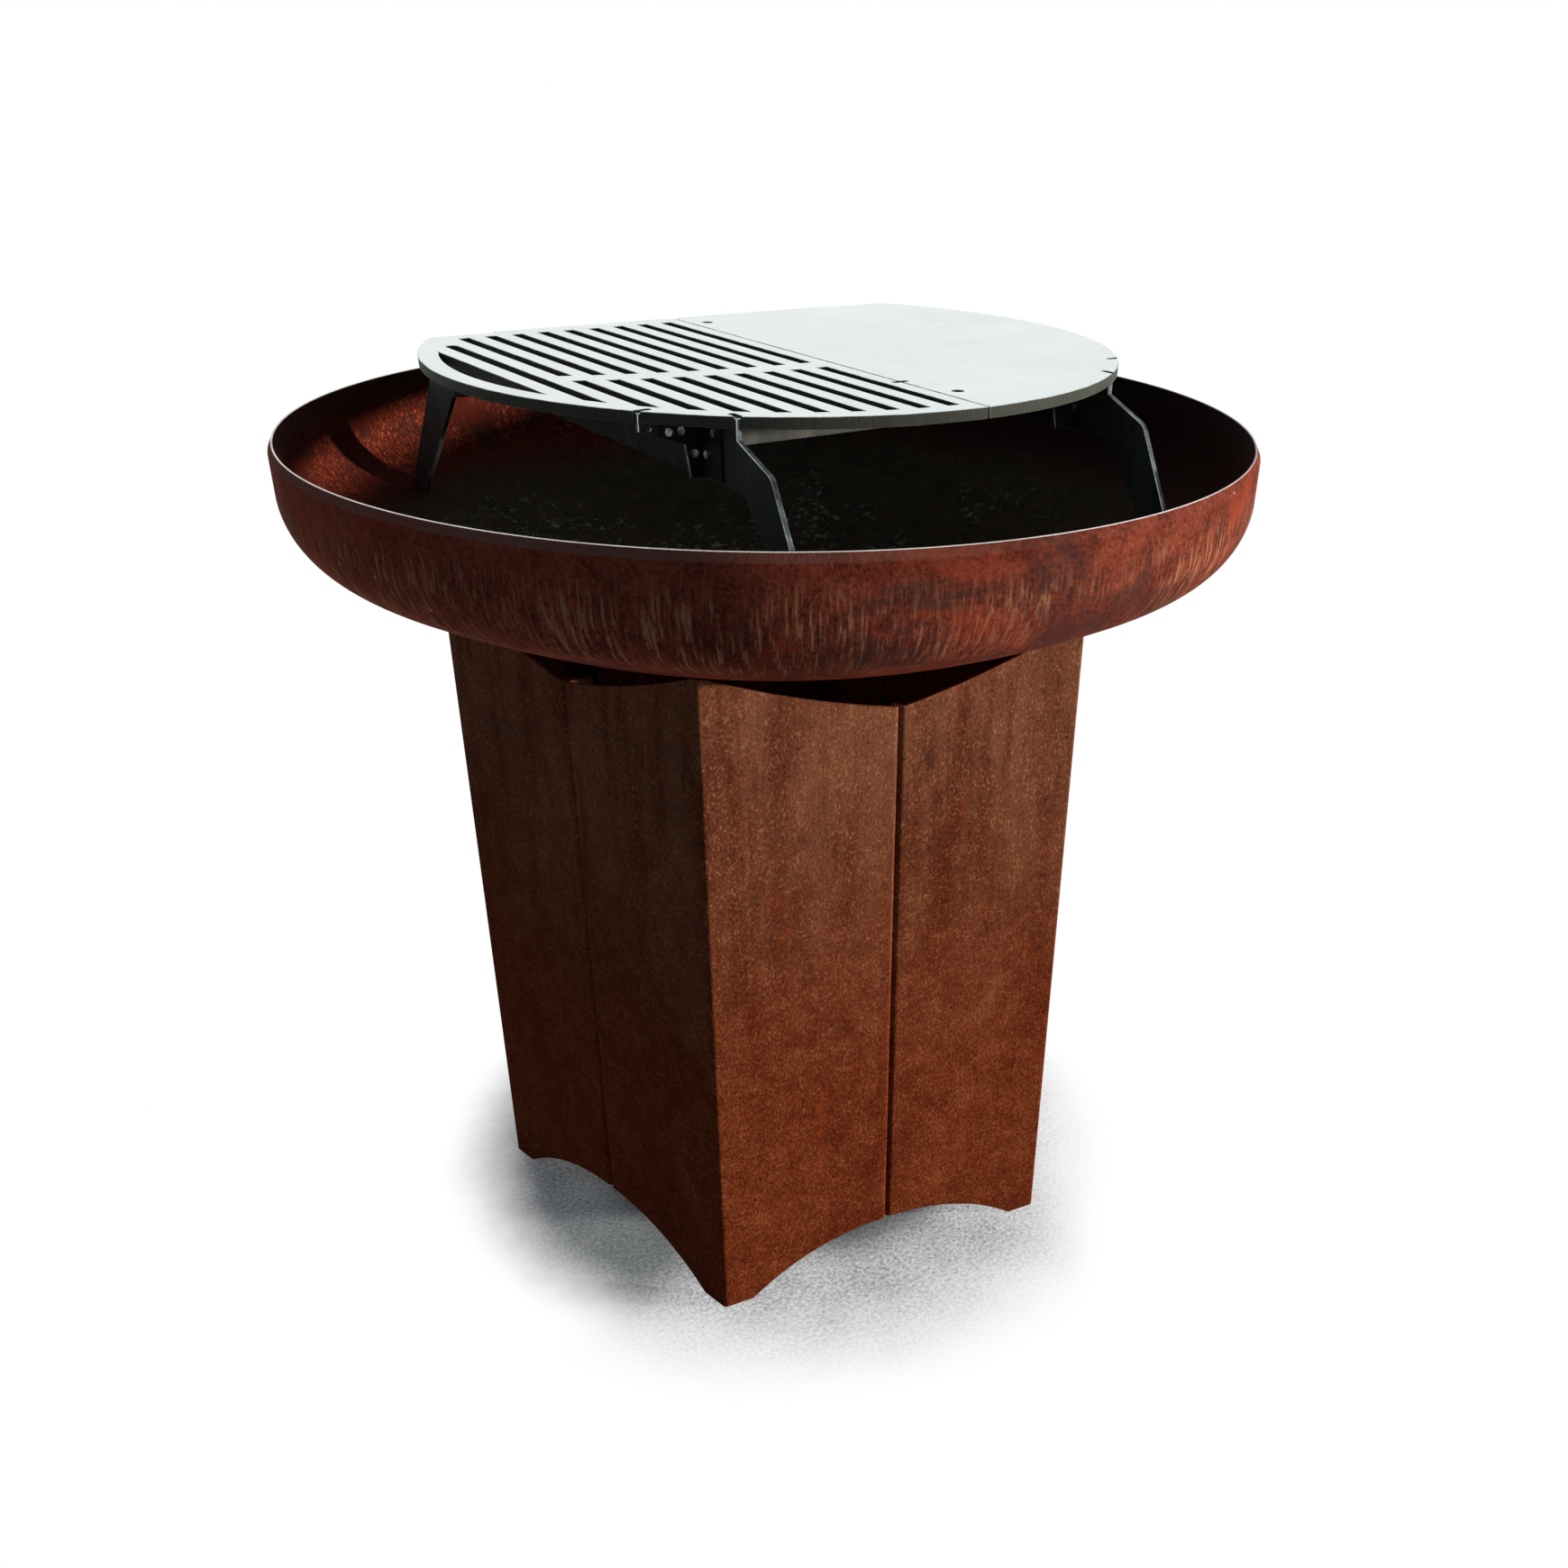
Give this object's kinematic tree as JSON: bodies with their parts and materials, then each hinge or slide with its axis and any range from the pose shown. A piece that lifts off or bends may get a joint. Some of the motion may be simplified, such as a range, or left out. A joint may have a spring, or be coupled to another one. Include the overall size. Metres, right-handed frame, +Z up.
{
  "type": "fire pit ring grill",
  "caption": "Dished steel fire bowl on a folded corner-panel pedestal, with a slotted sheet grill stand carrying a slotted grate half and a solid griddle half.",
  "frame": {"origin": "on the ground, under the middle of the bowl", "axes": "+Z up along the bowl's axis; +Y towards the straight rear edge of the plates, along their seam; +X towards the griddle plate"},
  "size_m": [1, 1, 0.99],
  "materials": {
    "weathered_steel_base": "rust patina, matt, finely speckled",
    "weathered_steel_bowl": "rust patina, matt, with orange streaks outside and ash stains inside",
    "stand_sheet": "dark mill scale with bright cut edges",
    "bracket_black": "black, satin",
    "zinc_fasteners": "zinc plated, satin",
    "cooking_steel": "satin steel, faintly brushed"
  },
  "bodies": {
    "base": {"base_panel_1": "weathered_steel_base", "base_panel_2": "weathered_steel_base", "base_panel_3": "weathered_steel_base", "base_panel_4": "weathered_steel_base", "base_panel_5": "weathered_steel_base", "base_bolts": "zinc_fasteners", "base_washers": "zinc_fasteners", "base_nuts": "zinc_fasteners"},
    "bowl": {"fire_bowl": "weathered_steel_bowl"},
    "stand": {"stand_side_left": "stand_sheet", "stand_side_right": "stand_sheet", "stand_beam_front": "stand_sheet", "stand_beam_rear": "stand_sheet", "bracket_front_left": "bracket_black", "bracket_front_right": "bracket_black", "bracket_rear_left": "bracket_black", "bracket_rear_right": "bracket_black", "stand_screws": "zinc_fasteners", "stand_nuts": "zinc_fasteners"},
    "grate": {"grate_plate": "cooking_steel"},
    "griddle": {"griddle_plate": "cooking_steel"}
  },
  "joints": [
    {"name": "bowl_lift", "type": "slide", "parent": "base", "child": "bowl", "axis": [0, 0, 1], "range_m": [0, 0.25]},
    {"name": "stand_lift", "type": "slide", "parent": "bowl", "child": "stand", "axis": [0, 0, 1], "range_m": [0, 0.25]},
    {"name": "grate_lift", "type": "slide", "parent": "stand", "child": "grate", "axis": [0, 0, 1], "range_m": [0, 0.1]},
    {"name": "griddle_lift", "type": "slide", "parent": "stand", "child": "griddle", "axis": [0, 0, 1], "range_m": [0, 0.1]}
  ]
}
